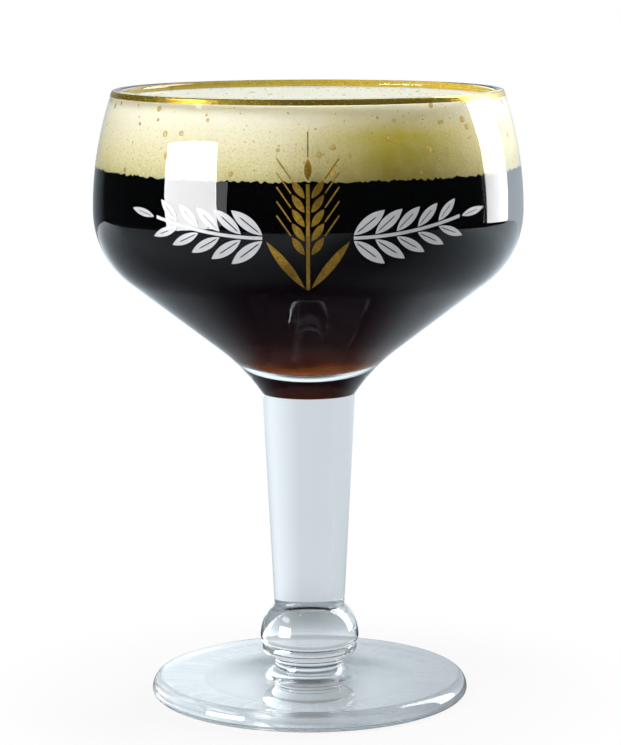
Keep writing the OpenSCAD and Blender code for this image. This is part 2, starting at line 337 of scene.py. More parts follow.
def outer_line(grow):
    """The bowl's outside from the stem to the lip, moved outwards."""
    flare_arc, shoulder_arc = FLARE_R - grow, SHOULDER_R + grow
    wall_arc = wall_arc_r + grow
    return (arc_points(flare_centre, flare_arc, flare_arc, 180 - FLARE_ANGLE, 180 - CONE_ANGLE, FINE)
            + arc_points(shoulder_centre, shoulder_arc, shoulder_arc, -CONE_ANGLE, 0, FINE * 2)
            + arc_points(wall_centre, wall_arc, wall_arc, 0, lip_angle, FINE / 2))


def inner_line(gap):
    """The hollow from the middle of its floor to the lip, with a gap left to the glass."""
    floor_arc, shoulder_arc = FLOOR_ROUND - gap, inner_shoulder_r - gap
    wall_arc = wall_arc_r - WALL_T - gap
    return (arc_points(floor_centre, floor_arc, floor_arc, -90, -hollow_angle, FINE)
            + arc_points(shoulder_centre, shoulder_arc, shoulder_arc, -hollow_angle, 0, FINE * 2)
            + arc_points(wall_centre, wall_arc, wall_arc, 0, lip_angle, FINE / 2))


hollow = inner_line(0)
bowl = turned("bowl_glass", [(0, BOWL_Z)] + outer_line(0)
              + arc_points(lip_centre, lip_r, lip_r, lip_angle, lip_angle + 180, 6)
              + hollow[::-1], clear_glass, [BOWL_Z],
              wetted=lambda r, z: z < FOAM_EDGE_Z and (r, z) in hollow, segments=256)
# Clear glass lets the studio's light through to the foam, so the bowl keeps none from it.
bowl.visible_shadow = False
bowl.visible_diffuse = False
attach(bowl, "root")
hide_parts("bowl")


# Gilded lip: liquid bright gold brushed on the outside just under the lip and fired at about 550 C.
# The film is thin and a little uneven, so it shows brush lines and patches of a duller tone.
FILM_T = 0.12
FILM_SEAT = 0.02
GILT_TOP_Z = rim_z - 0.25
GILT_W = 1.4

# Fired gold: a warm metal mirror, slightly rough from the glass under it, with fine brush streaks.
fired_gold, tree, place = new_material("fired_liquid_gold")
flat = put(tree, "ShaderNodeMapping", {"Vector": place, "Scale": (1, 1, 6)})
streaks = put(tree, "ShaderNodeTexNoise", {"Vector": flat, "Scale": 1 / (1.2 * MM), "Detail": 3.0})
patches = put(tree, "ShaderNodeTexNoise", {"Vector": place, "Scale": 1 / (9 * MM), "Detail": 2.0})
colour = put(tree, "ShaderNodeMix", {
    0: patches, 6: linear("#d2ac3a"), 7: linear("#b4a440")}, data_type="RGBA")
rough = put(tree, "ShaderNodeMapRange", {
    "Value": streaks, "From Min": 0.3, "From Max": 0.7, "To Min": 0.14, "To Max": 0.3})
bump = put(tree, "ShaderNodeBump", {"Height": streaks, "Strength": 0.3, "Distance": 0.03 * MM})
shader = put(tree, "ShaderNodeBsdfPrincipled", {
    "Base Color": colour, "Metallic": 0.75, "Roughness": rough, "Normal": bump})
put(tree, "ShaderNodeOutputMaterial", {"Surface": shader})


def lip_line(grow):
    """The outside from the wall over the lip, within the gold's heights."""
    whole = (arc_points(wall_centre, wall_arc_r + grow, wall_arc_r + grow, 0, lip_angle, 0.1)
             + arc_points(lip_centre, lip_r + grow, lip_r + grow, lip_angle, 90, 3))
    return between(whole, GILT_TOP_Z - GILT_W, GILT_TOP_Z)


gilt_loop = lip_line(FILM_T) + lip_line(-FILM_SEAT)[::-1]
rim_gilding = turned("rim_gold", gilt_loop + gilt_loop[:1], fired_gold, segments=256)
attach(rim_gilding, "root")
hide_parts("rim_gilding")


# Front ornament: a barley ear in gold between two leaf sprays in white, screen printed on the bowl
# and fired on it. The films stand a tenth of a millimetre proud and follow the bowl's curve.
PRINT_Z = belly_z - 2.0
LEAF_ROWS = 12
AWN_ROWS = 4


def leaf_mesh(name, length, width, vein_w=0.0, awn_gap=0.0, awn_l=0.0, awn_w=0.0):
    """A pointed leaf along +X in the XZ plane, with an open vein, and with an awn past its tip."""
    side_r = (length ** 2 + width ** 2) / (4 * width)
    points, faces, strips = [], [], []
    for side in (-1, 1):
        strip = []
        for i in range(LEAF_ROWS + 1):
            x = length * i / LEAF_ROWS
            edge = math.sqrt(side_r ** 2 - (x - length / 2) ** 2) - side_r + width / 2
            vein = vein_w / 2 if 0.15 < i / LEAF_ROWS < 0.7 else 0.0
            strip.append((x, min(side * edge, side * vein), max(side * edge, side * vein)))
        strips.append(strip)
    if awn_l:
        strips.append([(length + awn_gap + awn_l * i / AWN_ROWS, -awn_w / 2, awn_w / 2)
                       for i in range(AWN_ROWS + 1)])
    for strip in strips:
        first = len(points)
        points += [(x * MM, 0, z * MM) for x, low, high in strip for z in (low, high)]
        faces += [(first + 2 * i, first + 2 * i + 2, first + 2 * i + 3, first + 2 * i + 1)
                  for i in range(len(strip) - 1)]
    mesh = bpy.data.meshes.new(name)
    mesh.from_pydata(points, [], faces)
    return mesh


# The sprig: pairs of leaves along a stem that bends up, with a leaf at its tip, turned into place,
# mirrored if asked, laid on the bowl along +Y and raised to the thickness of the film.
sprig, given = new_tree("sprig", [
    ("Leaf", "Geometry"), ("Pairs", "Int"), ("Pitch", "Float"), ("Bare stem", "Float"),
    ("Tilt", "Float"), ("Taper", "Float"), ("Gap", "Float"), ("Rise", "Float"), ("Stem width", "Float"),
    ("Stem and tip", "Bool"), ("Turn", "Float"), ("Start", "Vector"), ("Both sides", "Bool"),
    ("Bowl", "Object"), ("Film", "Float"), ("Seat", "Float"), ("Fired film", "Material")])
STAND_OFF = 0.1
more = put(sprig, "ShaderNodeMath", {0: given["Pairs"], 1: 1.0}, operation="ADD")
first = put(sprig, "ShaderNodeCombineXYZ", {"X": given["Bare stem"]})
step = put(sprig, "ShaderNodeCombineXYZ", {"X": given["Pitch"]})
nodes = put(sprig, "GeometryNodeMeshLine", {"Count": more, "Start Location": first, "Offset": step})
along = put(sprig, "ShaderNodeSeparateXYZ", {0: put(sprig, "GeometryNodeInputPosition")}).outputs["X"]
square = put(sprig, "ShaderNodeMath", {0: along, 1: along}, operation="MULTIPLY")
height = put(sprig, "ShaderNodeMath", {0: square, 1: given["Rise"]}, operation="MULTIPLY")
slope = put(sprig, "ShaderNodeMath", {0: along, 1: given["Rise"]}, operation="MULTIPLY")
slope = put(sprig, "ShaderNodeMath", {0: slope, 1: 2.0}, operation="MULTIPLY")
lean = put(sprig, "ShaderNodeMath", {0: slope}, operation="ARCTANGENT")
number = put(sprig, "GeometryNodeInputIndex")
share = put(sprig, "ShaderNodeMath", {0: number, 1: given["Pairs"]}, operation="DIVIDE")
loss = put(sprig, "ShaderNodeMath", {0: share, 1: given["Taper"]}, operation="MULTIPLY")
size = put(sprig, "ShaderNodeMath", {0: 1.0, 1: loss}, operation="SUBTRACT")
in_pair = put(sprig, "FunctionNodeCompare", {0: number, 1: given["Pairs"]}, operation="LESS_THAN")
at_tip = put(sprig, "FunctionNodeBooleanMath", {0: in_pair}, operation="NOT")
parts = []
for side in (-1, 1, 0):
    tilt = put(sprig, "ShaderNodeMath", {0: given["Tilt"], 1: float(side)}, operation="MULTIPLY")
    angle = put(sprig, "ShaderNodeMath", {0: lean, 1: tilt}, operation="ADD")
    angle = put(sprig, "ShaderNodeMath", {0: angle, 1: -1.0}, operation="MULTIPLY")
    turn = put(sprig, "ShaderNodeCombineXYZ", {"Y": angle})
    aside = put(sprig, "ShaderNodeMath", {0: given["Gap"], 1: float(side)}, operation="MULTIPLY")
    lift = put(sprig, "ShaderNodeMath", {0: height, 1: aside}, operation="ADD")
    ahead = put(sprig, "ShaderNodeMath", {0: given["Gap"], 1: float(side == 0)}, operation="MULTIPLY")
    shift = put(sprig, "ShaderNodeCombineXYZ", {"X": ahead, "Z": lift})
    leaves = put(sprig, "GeometryNodeInstanceOnPoints", {
        "Points": nodes, "Selection": in_pair if side else at_tip, "Instance": given["Leaf"],
        "Rotation": turn, "Scale": size})
    leaves = put(sprig, "GeometryNodeTranslateInstances", {
        "Instances": leaves, "Translation": shift, "Local Space": False})
    parts.append(leaves)
length = put(sprig, "ShaderNodeMath", {0: given["Pairs"], 1: given["Pitch"]}, operation="MULTIPLY")
length = put(sprig, "ShaderNodeMath", {0: length, 1: given["Bare stem"]}, operation="ADD")
strip = put(sprig, "GeometryNodeMeshGrid", {
    "Size X": length, "Size Y": given["Stem width"], "Vertices X": 25, "Vertices Y": 2})
half = put(sprig, "ShaderNodeMath", {0: length, 1: 0.5}, operation="MULTIPLY")
half = put(sprig, "ShaderNodeCombineXYZ", {"X": half})
strip = put(sprig, "GeometryNodeTransform", {"Geometry": strip, "Translation": half})
corner = put(sprig, "ShaderNodeSeparateXYZ", {0: put(sprig, "GeometryNodeInputPosition")}).outputs
raised = put(sprig, "ShaderNodeMath", {0: corner["Y"], 1: height}, operation="ADD")
upright = put(sprig, "ShaderNodeCombineXYZ", {"X": corner["X"], "Z": raised})
strip = put(sprig, "GeometryNodeSetPosition", {"Geometry": strip, "Position": upright})
pairs = put(sprig, "GeometryNodeJoinGeometry", {0: parts[:2]})
whole = put(sprig, "GeometryNodeJoinGeometry", {0: parts + [strip]})
flat = put(sprig, "GeometryNodeSwitch", {
    "Switch": given["Stem and tip"], "False": pairs, "True": whole}, input_type="GEOMETRY")
flat = put(sprig, "GeometryNodeRealizeInstances", {"Geometry": flat})
turn = put(sprig, "ShaderNodeMath", {0: given["Turn"], 1: -1.0}, operation="MULTIPLY")
turn = put(sprig, "ShaderNodeCombineXYZ", {"Y": turn})
flat = put(sprig, "GeometryNodeTransform", {
    "Geometry": flat, "Rotation": turn, "Translation": given["Start"]})
mirror = put(sprig, "GeometryNodeTransform", {"Geometry": flat, "Scale": (-1, 1, 1)})
mirror = put(sprig, "GeometryNodeFlipFaces", {"Mesh": mirror})
two = put(sprig, "GeometryNodeJoinGeometry", {0: [flat, mirror]})
flat = put(sprig, "GeometryNodeSwitch", {
    "Switch": given["Both sides"], "False": flat, "True": two}, input_type="GEOMETRY")
flat = put(sprig, "GeometryNodeMergeByDistance", {"Geometry": flat, "Distance": WELD})
spot = put(sprig, "ShaderNodeVectorMath", {
    0: put(sprig, "GeometryNodeInputPosition"), 1: (0, -STAND_OFF, 0)}, operation="ADD")
target = put(sprig, "GeometryNodeObjectInfo", {"Object": given["Bowl"]}, transform_space="RELATIVE")
ray = put(sprig, "GeometryNodeRaycast", {
    "Target Geometry": target.outputs["Geometry"], "Source Position": spot, "Ray Direction": (0, 1, 0),
    "Ray Length": 2 * STAND_OFF}).outputs
sunk = put(sprig, "ShaderNodeMath", {0: given["Seat"], 1: -1.0}, operation="MULTIPLY")
sunk = put(sprig, "ShaderNodeVectorMath", {0: ray["Hit Normal"], "Scale": sunk}, operation="SCALE")
seat = put(sprig, "ShaderNodeVectorMath", {0: ray["Hit Position"], 1: sunk}, operation="ADD")
laid = put(sprig, "GeometryNodeSetPosition", {"Geometry": flat, "Position": seat})
thick = put(sprig, "ShaderNodeMath", {0: given["Film"], 1: given["Seat"]}, operation="ADD")
film = put(sprig, "GeometryNodeExtrudeMesh", {
    "Mesh": laid, "Offset Scale": thick, "Individual": False}, mode="FACES")
under = put(sprig, "GeometryNodeFlipFaces", {"Mesh": laid})
film = put(sprig, "GeometryNodeJoinGeometry", {0: [film, under]})
film = put(sprig, "GeometryNodeMergeByDistance", {"Geometry": film, "Distance": 0.0005 * MM})
film = creased(sprig, film, SHARP)
film = put(sprig, "GeometryNodeRealizeInstances", {"Geometry": film})
film = put(sprig, "GeometryNodeSetMaterial", {"Geometry": film, "Material": given["Fired film"]})
put(sprig, "NodeGroupOutput", {"Geometry": film})


def fired_sprig(name, leaf, material, values):
    """A printed sprig on the bowl's front, from a flat leaf and the sprig's sizes."""
    obj = bpy.data.objects.new(name, leaf)
    bpy.context.scene.collection.objects.link(obj)
    return run_tree(obj, sprig, {"Bowl": bowl, "Film": FILM_T * MM, "Seat": FILM_SEAT * MM,
                                 "Fired film": material, **values})


# Burnish gold: gold powder in a flux, screen printed and fired to a satin film, so that it shows its
# own colour from all sides, with the grain of the screen in it.
printed_gold, tree, place = new_material("screen_printed_burnish_gold")
grain = put(tree, "ShaderNodeTexNoise", {"Vector": place, "Scale": 1 / (0.5 * MM), "Detail": 3.0})
patches = put(tree, "ShaderNodeTexNoise", {"Vector": place, "Scale": 1 / (6 * MM), "Detail": 2.0})
worn = put(tree, "ShaderNodeMath", {0: grain, 1: patches}, operation="MULTIPLY")
worn = put(tree, "ShaderNodeMapRange", {"Value": worn, "From Min": 0.15, "From Max": 0.4})
colour = put(tree, "ShaderNodeMix", {0: worn, 6: linear("#8a6a1e"), 7: linear("#d0a63c")}, data_type="RGBA")
rough = put(tree, "ShaderNodeMapRange", {"Value": grain, "To Min": 0.3, "To Max": 0.55})
bump = put(tree, "ShaderNodeBump", {"Height": grain, "Strength": 0.4, "Distance": 0.03 * MM})
shader = put(tree, "ShaderNodeBsdfPrincipled", {
    "Base Color": colour, "Metallic": 0.5, "Roughness": rough, "Normal": bump})
put(tree, "ShaderNodeOutputMaterial", {"Surface": shader})

EAR_L = 26.0
STALK_L = 9.0
STALK_W = 0.9
KERNEL_GAP = STALK_W / 2 + 0.4
ear_start = Vector((0, 0, PRINT_Z - EAR_L / 2)) * MM
kernel = leaf_mesh("kernel", length=5.2, width=1.8, awn_gap=0.4, awn_l=6.0, awn_w=0.35)
ear = fired_sprig("ear_gold", kernel, printed_gold, {
    "Pairs": 5, "Pitch": 3.4 * MM, "Bare stem": STALK_L * MM, "Tilt": math.radians(35),
    "Gap": KERNEL_GAP * MM, "Stem width": STALK_W * MM, "Stem and tip": True, "Turn": math.pi / 2,
    "Start": ear_start})
blade = leaf_mesh("blade", length=15.0, width=2.2)
blades = fired_sprig("ear_blades_gold", blade, printed_gold, {
    "Pairs": 1, "Pitch": 1 * MM, "Bare stem": 0.4 * MM, "Tilt": math.radians(38),
    "Gap": KERNEL_GAP * MM, "Turn": math.pi / 2, "Start": ear_start})
for piece in (ear, blades):
    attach(piece, "root")
    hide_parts("ear_gilding")

# White vitreous enamel: opaque ground glass melted on, glossy, with a faint mottle from the screen.
white_enamel, tree, place = new_material("white_vitreous_enamel")
mottle = put(tree, "ShaderNodeTexNoise", {"Vector": place, "Scale": 1 / (0.6 * MM), "Detail": 3.0})
colour = put(tree, "ShaderNodeMix", {
    0: mottle, 6: linear("#f4f4f6"), 7: linear("#dcdde4")}, data_type="RGBA")
rough = put(tree, "ShaderNodeMapRange", {"Value": mottle, "To Min": 0.2, "To Max": 0.45})
bump = put(tree, "ShaderNodeBump", {"Height": mottle, "Strength": 0.3, "Distance": 0.03 * MM})
shader = put(tree, "ShaderNodeBsdfPrincipled", {"Base Color": colour, "Roughness": rough, "Normal": bump})
put(tree, "ShaderNodeOutputMaterial", {"Surface": shader})

SPRAY_START = 11.0
leaf = leaf_mesh("leaf", length=9.5, width=3.1, vein_w=0.3)
sprays = fired_sprig("leaf_sprays_enamel", leaf, white_enamel, {
    "Pairs": 5, "Pitch": 5.2 * MM, "Tilt": math.radians(38), "Taper": 0.4, "Gap": 0.7 * MM,
    "Rise": 0.006 / MM, "Stem width": 0.8 * MM, "Stem and tip": True,
    "Start": Vector((SPRAY_START, 0, PRINT_Z)) * MM, "Both sides": True})
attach(sprays, "root")
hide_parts("leaf_enamel")


# Dark ale: a bottle-conditioned strong ale, almost black where it is deep. Its lowest few millimetres
# over the floor are painted amber and partly matt: a painted glow of light through the thin ale there.
ALE_GAP = 0.16
ALE_Z = rim_z - 19.0
HOLLOW_FLOOR_Z = floor_centre[1] - FLOOR_ROUND

# Ale takes blue and green out of the light first; its index is already in the wetted glass, so its
# own surface neither bends nor mirrors light. Each tone is a height over the floor, and the share of
# the light that the ale lets through; the rest shows as a matt surface of that tone, and the amber
# low tones are a painted glow.
ALE_TONES_AND_PAINTED_GLOW = ((0, "#de7810", 0.5), (5, "#6e2e16", 0.62), (10, "#3e1c20", 0.68), (20, "#2f1a26", 0.74),
             (32, "#20141e", 0.85), (44, "#0c0608", 0.97))
dark_ale, tree, place = new_material("dark_bottle_conditioned_ale")
height = put(tree, "ShaderNodeSeparateXYZ", {0: place}).outputs["Z"]
swirl = put(tree, "ShaderNodeTexNoise", {"Vector": place, "Scale": 1 / (6 * MM), "Detail": 3.0})
wander = put(tree, "ShaderNodeMapRange", {"Value": swirl, "To Min": -2 * MM, "To Max": 2 * MM})
level = put(tree, "ShaderNodeMath", {0: height, 1: wander}, operation="ADD")
depth = put(tree, "ShaderNodeMapRange", {"Value": level, "From Min": HOLLOW_FLOOR_Z * MM, "From Max": ALE_Z * MM})
# The amber at the bottom of this ramp is a painted glow, and the ramp fades it out by height.
tones = put(tree, "ShaderNodeValToRGB", {0: depth}, stops=[
    (rise / (ALE_Z - HOLLOW_FLOOR_Z), (*linear(tone)[:3], clear)) for rise, tone, clear in ALE_TONES_AND_PAINTED_GLOW])
shader = put(tree, "ShaderNodeBsdfPrincipled", {
    "Base Color": tones, "Roughness": 0.0, "IOR": 1.0, "Transmission Weight": tones.outputs["Alpha"]})
absorption = put(tree, "ShaderNodeVolumeAbsorption", {"Color": linear("#f5ecd7"), "Density": 1000.0})
put(tree, "ShaderNodeOutputMaterial", {"Surface": shader, "Volume": absorption})

ale = turned("ale", between(inner_line(ALE_GAP), 0, ALE_Z) + [(0, ALE_Z)], dark_ale)
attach(ale, "root")
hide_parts("beer")


# Foam: the head that the ale throws when it is poured, a dense froth of bubbles under a millimetre.
# It clings to the wall up to the gilded lip, and its lower edge breaks up where it meets the ale.
FOAM_GAP = 0.12
FOAM_DOME = 1.2
FOAM_SKIRT = 1.0
FOAM_RINGS = 40
EDGE_RAGGED = 0.6
EDGE_GRAIN = 1.3
# Where the painted shade right of the foam's middle starts, is full, and fades out, along X.
PAINTED_SHADE_FROM_X = -14.0
PAINTED_SHADE_FULL_X = 22.0
PAINTED_SHADE_END_X = 48.0
SOFT = "SMOOTHSTEP"
FOAM_TONES = ((0.0, "#cdbf78"), (0.24, "#e4d9a4"), (0.52, "#f2eac8"), (0.8, "#f9f5e2"), (0.93, "#fcfaf0"),
              (0.96, "#e6e6d6"))

# Foam scatters light in its films. Its colour runs paler up the wall and a little greyer over the top;
# the paler top is partly painted light, and the darker, yellower lower part is partly the ale's colour
# and partly painted shade. Right of the middle it is painted a darker olive, a painted shade on the
# side away from the key lamp, which fades towards the far right where the right softbox lights it.
# Its cells are drawn at a true size of about half a millimetre.
ale_foam, tree, place = new_material("ale_foam")
spot = put(tree, "ShaderNodeSeparateXYZ", {0: place}).outputs
# Up the foam the colour runs paler, partly painted light; lower down it is darker, partly painted shade.
foam_height = put(tree, "ShaderNodeMapRange", {
    "Value": spot["Z"], "From Min": (ALE_Z - FOAM_SKIRT) * MM, "From Max": (FOAM_EDGE_Z + FOAM_DOME) * MM})
tones = put(tree, "ShaderNodeValToRGB", {0: foam_height},
            stops=[(share, linear(tone)) for share, tone in FOAM_TONES])
patches = put(tree, "ShaderNodeTexNoise", {"Vector": place, "Scale": 1 / (5 * MM), "Detail": 6.0})
grain = put(tree, "ShaderNodeTexNoise", {"Vector": place, "Scale": 1 / (0.45 * MM), "Detail": 2.0})
cells = put(tree, "ShaderNodeTexVoronoi", {"Vector": place, "Scale": 1 / (0.7 * MM)})
# Painted shade: right of the middle, away from the key lamp, the foam is painted darker olive, less so at
# the far right.
shaded_side = put(tree, "ShaderNodeMapRange", {
    "Value": spot["X"], "From Min": PAINTED_SHADE_FROM_X * MM, "From Max": PAINTED_SHADE_FULL_X * MM}, interpolation_type=SOFT)
lit_from_right = put(tree, "ShaderNodeMapRange", {
    "Value": spot["X"], "From Min": PAINTED_SHADE_FULL_X * MM, "From Max": PAINTED_SHADE_END_X * MM,
    "To Min": 1.0, "To Max": 0.4}, interpolation_type=SOFT)
sunk = put(tree, "ShaderNodeMapRange", {"Value": foam_height, "From Min": 1.0, "From Max": 0.55})
painted_shade = put(tree, "ShaderNodeMath", {0: shaded_side, 1: sunk}, operation="MULTIPLY")
painted_shade = put(tree, "ShaderNodeMath", {0: painted_shade, 1: lit_from_right}, operation="MULTIPLY")
painted_shade = put(tree, "ShaderNodeMapRange", {"Value": painted_shade, "To Min": 0.06, "To Max": 0.92})
mottle = put(tree, "ShaderNodeMapRange", {
    "Value": patches, "From Min": 0.3, "From Max": 0.7, "To Min": 0.9, "To Max": 1.1})
painted_shade = put(tree, "ShaderNodeMath", {0: painted_shade, 1: mottle}, operation="MULTIPLY", use_clamp=True)
films = put(tree, "ShaderNodeMapRange", {
    "Value": grain, "From Min": 0.5, "From Max": 0.75, "To Min": 0.0, "To Max": 0.5})
colour = put(tree, "ShaderNodeMix", {0: films, 6: tones, 7: linear("#fbf8e2")}, data_type="RGBA")
# The painted shade is darker lower down, over the dark ale.
deep = put(tree, "ShaderNodeMapRange", {"Value": foam_height, "From Min": 0.05, "From Max": 0.6})
shade_tones = put(tree, "ShaderNodeMix", {0: deep, 6: linear("#80700c"), 7: linear("#c2ae14")}, data_type="RGBA")
colour = put(tree, "ShaderNodeMix", {0: painted_shade, 6: colour, 7: shade_tones}, data_type="RGBA")
open_cells = put(tree, "ShaderNodeMapRange", {
    "Value": foam_height, "From Min": 0.85, "From Max": 0.3, "To Min": 0.1, "To Max": 0.5})
pits = put(tree, "ShaderNodeMapRange", {
    "Value": cells, "From Min": 0.05, "From Max": 0.4, "To Min": open_cells, "To Max": 0.0})
colour = put(tree, "ShaderNodeMix", {0: pits, 6: colour, 7: linear("#a68a2c")}, data_type="RGBA")
bump = put(tree, "ShaderNodeBump", {"Height": grain, "Strength": 0.5, "Distance": 0.12 * MM})
bump = put(tree, "ShaderNodeBump", {"Height": cells, "Strength": 0.4, "Distance": 0.15 * MM, "Normal": bump})
shader = put(tree, "ShaderNodeBsdfPrincipled", {
    "Base Color": colour, "Roughness": 0.7, "Subsurface Weight": 0.4, "Subsurface Radius": (5, 4, 1.5),
    "Subsurface Scale": MM, "Normal": bump})
put(tree, "ShaderNodeOutputMaterial", {"Surface": shader})

foam_wall = between(inner_line(FOAM_GAP), ALE_Z - FOAM_SKIRT, FOAM_EDGE_Z)
foam_edge_r = foam_wall[-1][0]
foam_top = [(foam_edge_r * (1 - i / FOAM_RINGS), FOAM_EDGE_Z + FOAM_DOME * (1 - (1 - i / FOAM_RINGS) ** 2))
            for i in range(FOAM_RINGS + 1)]
foam_under = [(0, ALE_Z), (foam_wall[0][0] - 2 * FOAM_SKIRT, ALE_Z)]
foam = turned("foam", foam_under + foam_wall + foam_top, ale_foam, segments=720)
for vertex in foam.data.vertices:
    place = vertex.co / MM
    if place.z < FOAM_EDGE_Z:
        low = max(0.0, 1 - (place.z - ALE_Z + FOAM_SKIRT) / (4 * EDGE_RAGGED))
        outer = place.xy.length > foam_edge_r - 1
        vertex.co.z += outer * low * EDGE_RAGGED * MM * noise.fractal(place.xyz / EDGE_GRAIN, 0.6, 2.0, 3)
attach(foam, "root")
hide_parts("foam_head")

# The larger bubbles lie in the foam as flat lenses of ale film, scattered over its wall and top.
froth, given = new_tree("froth", [
    ("Foam", "Geometry"), ("Density", "Float"), ("Share on top", "Float"), ("Smallest", "Float"),
    ("Largest", "Float"), ("Rarity", "Float"), ("Bulge", "Float"), ("Seed", "Int"), ("Film", "Material")])
up = put(froth, "ShaderNodeSeparateXYZ", {0: put(froth, "GeometryNodeInputNormal")}).outputs["Z"]
not_below = put(froth, "FunctionNodeCompare", {0: up, 1: -0.3}, operation="GREATER_THAN")
fewer = put(froth, "ShaderNodeMapRange", {
    "Value": up, "From Min": 0.4, "From Max": 0.9, "To Min": 1.0, "To Max": given["Share on top"]})
density = put(froth, "ShaderNodeMath", {0: given["Density"], 1: fewer}, operation="MULTIPLY")
spots = put(froth, "GeometryNodeDistributePointsOnFaces", {
    "Mesh": given["Foam"], "Selection": not_below, "Density": density, "Seed": given["Seed"]})
luck = put(froth, "FunctionNodeRandomValue", {"Seed": given["Seed"]}, data_type="FLOAT")
rare = put(froth, "ShaderNodeMath", {0: luck, 1: given["Rarity"]}, operation="POWER")
radius = put(froth, "ShaderNodeMapRange", {
    "Value": rare, "To Min": given["Smallest"], "To Max": given["Largest"]})
size = put(froth, "ShaderNodeCombineXYZ", {"X": radius, "Y": radius, "Z": given["Bulge"]})
lens = put(froth, "GeometryNodeMeshUVSphere", {"Segments": 10, "Rings": 4, "Radius": 1.0})
bubbles = put(froth, "GeometryNodeInstanceOnPoints", {
    "Points": spots, "Instance": lens, "Rotation": spots.outputs["Rotation"], "Scale": size})
bubbles = put(froth, "GeometryNodeRealizeInstances", {"Geometry": bubbles})
bubbles = put(froth, "GeometryNodeSetShadeSmooth", {"Geometry": bubbles, "Shade Smooth": True})
bubbles = put(froth, "GeometryNodeSetMaterial", {"Geometry": bubbles, "Material": given["Film"]})
put(froth, "NodeGroupOutput", {"Geometry": bubbles})

# Ale film: wet and amber, with the foam behind it showing through as a paler cloud.
ale_film, tree, place = new_material("ale_film_of_a_bubble")
cloud = put(tree, "ShaderNodeTexNoise", {"Vector": place, "Scale": 1 / (0.8 * MM), "Detail": 2.0})
colour = put(tree, "ShaderNodeMix", {0: cloud, 6: linear("#d4a832"), 7: linear("#e4cb7c")}, data_type="RGBA")
shader = put(tree, "ShaderNodeBsdfPrincipled", {
    "Base Color": colour, "Roughness": 0.25, "IOR": ALE_IOR, "Alpha": 0.6})
put(tree, "ShaderNodeOutputMaterial", {"Surface": shader})

bubbles = bpy.data.objects.new("foam_bubbles", foam.data.copy())
bpy.context.scene.collection.objects.link(bubbles)
run_tree(bubbles, froth, {"Density": 60000.0, "Share on top": 0.35, "Smallest": 0.16 * MM,
                          "Largest": 0.95 * MM, "Rarity": 5.0, "Bulge": 0.09 * MM, "Seed": 7,
                          "Film": ale_film})
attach(bubbles, "root")


# Studio: a white table that keeps a soft shadow, a broad lamp and bright cards on the left, a tall
# softbox behind on the right, a pale room round it all, and a camera on the photograph's view. Its
# sizes are in metres.
TABLE = 0.75
PALE_ROOM = linear("#d6dde2")
BLUE_ROOM = linear("#ccd8e0")
LIT_MOST = 1.6
LIT_LEFT = 0.45
UNDER_LEFT = 1.6
UNDER_RIGHT = 0.8
OVAL_X = 0.018
OVAL_Y = 0.055
OVAL_SHADE = 0.45
SHADE_BEHIND = 0.7
INNER_TABLE = 0.5
INNER_CORE = 0.6
INNER_DEEP = 0.5
MORE_ON_RIGHT = {"From Min": 0.15, "From Max": 0.68, "To Min": 1.0, "To Max": 1.45}

mesh = bpy.data.meshes.new("table")
mesh.from_pydata([(-TABLE, -TABLE, 0), (TABLE, -TABLE, 0), (TABLE, TABLE, 0), (-TABLE, TABLE, 0)], [],
                 [(0, 1, 2, 3)])
table = bpy.data.objects.new("table", mesh)
bpy.context.scene.collection.objects.link(table)

# To the camera the table is white and keeps the foot's real shadow. Through glass and in gloss it
# shows painted light and shade as emission. Through glass it is painted brighter on the right, and
# brighter on the left under the foot, with painted shade round the foot and a painted shadow in an
# oval under the stem. In gloss it is painted lit from behind and from the far left and dark round the
# foot. It is painted lighter again for light that has crossed the glass, or has been mirrored in it
# more than twice, in place of the light that the glass throws on it.
table_top, tree, place = new_material("white_table_top")
path = put(tree, "ShaderNodeLightPath").outputs
across = put(tree, "ShaderNodeSeparateXYZ", {0: place}).outputs["X"]
distance = put(tree, "ShaderNodeVectorMath", {0: place}, operation="LENGTH")
to_light = put(tree, "ShaderNodeVectorMath", {0: place, 1: (0.45, 0.9, 0)}, operation="DOT_PRODUCT")
# Painted light for gloss: brighter towards the back right and the far left, with painted shade round the
# foot.
lit = put(tree, "ShaderNodeMapRange", {
    "Value": to_light, "From Min": -0.06, "From Max": 0.4, "To Min": 0.08, "To Max": LIT_MOST})
shade = put(tree, "ShaderNodeMapRange", {
    "Value": distance, "From Min": 0.04, "From Max": 0.11, "To Min": 0.1, "To Max": 1.0},
    interpolation_type=SOFT)
to_left = put(tree, "ShaderNodeVectorMath", {0: place, 1: (-1, -0.7, 0)}, operation="DOT_PRODUCT")
far_left = put(tree, "ShaderNodeMapRange", {
    "Value": to_left, "From Min": 0.06, "From Max": 0.3, "To Min": 0.0, "To Max": LIT_LEFT})
lit = put(tree, "ShaderNodeMath", {0: lit, 1: far_left}, operation="ADD")
mirrored = put(tree, "ShaderNodeMath", {0: lit, 1: shade}, operation="MULTIPLY")
# Painted light through glass: brighter on the left under the foot.
under = put(tree, "ShaderNodeMapRange", {
    "Value": across, "From Min": -0.04, "From Max": 0.04, "To Min": UNDER_LEFT, "To Max": UNDER_RIGHT},
    interpolation_type=SOFT)
